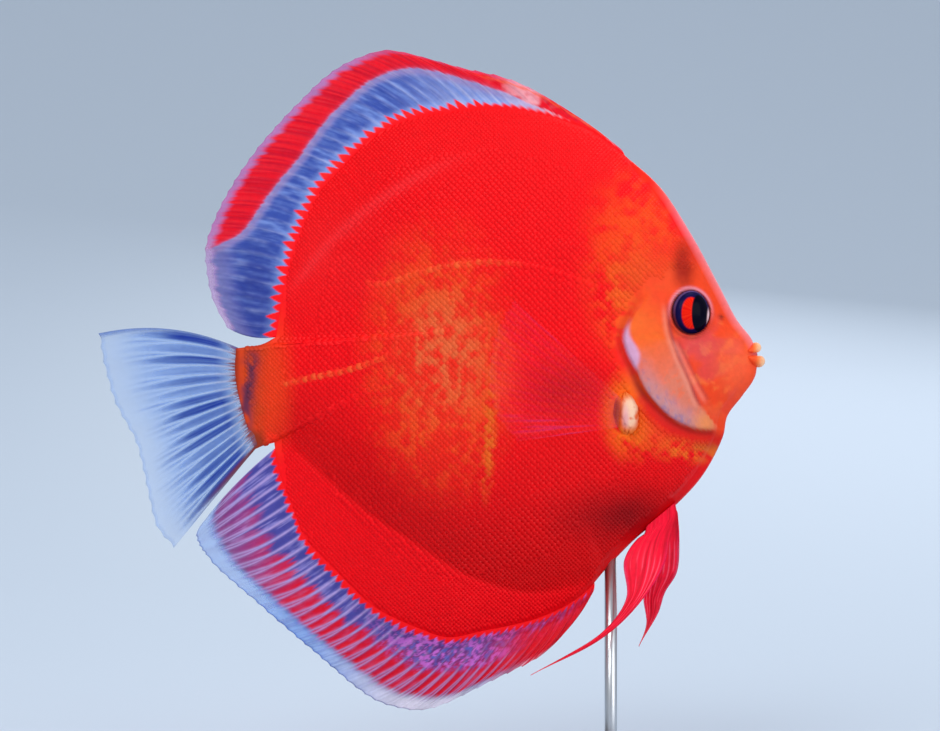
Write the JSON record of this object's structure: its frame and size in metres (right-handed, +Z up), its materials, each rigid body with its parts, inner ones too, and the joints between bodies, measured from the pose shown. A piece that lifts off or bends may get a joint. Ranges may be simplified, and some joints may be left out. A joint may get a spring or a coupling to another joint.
{
  "type": "discus fish model on a display stand",
  "caption": "Life-size still model of a red discus fish in a swimming pose, held by a rod on a flat wooden base.",
  "frame": {"origin": "centre of the flat underside of the stand's base", "axes": "+X from the tail to the nose, +Y from the fish's right flank to its left, +Z up"},
  "size_m": [0.1603, 0.06, 0.179],
  "materials": {
    "skin": "glossy red fish skin with small scales",
    "face": "smooth orange-red skin of the head",
    "lip": "pale fleshy lips",
    "eye": "wet dark eye with a red iris",
    "fin": "translucent blue and crimson fin membrane with raised rays",
    "clear_fin": "thin translucent magenta fin membrane",
    "rod": "satin steel",
    "base": "dark walnut, satin lacquer"
  },
  "bodies": {
    "root": {"head": "face", "gill_cover_right": "face", "gill_cover_left": "face", "upper_lip": "lip", "lower_lip": "lip", "torso": "skin", "caudal_peduncle": "skin", "eye_right": "eye", "eye_left": "eye", "dorsal_fin": "fin", "anal_fin": "fin", "caudal_fin": "fin", "pectoral_fin_right": "clear_fin", "pectoral_fin_left": "clear_fin", "pelvic_fin_right": "clear_fin", "pelvic_fin_left": "clear_fin", "stand_rod": "rod", "stand_collar": "rod", "stand_base": "base"}
  },
  "joints": []
}
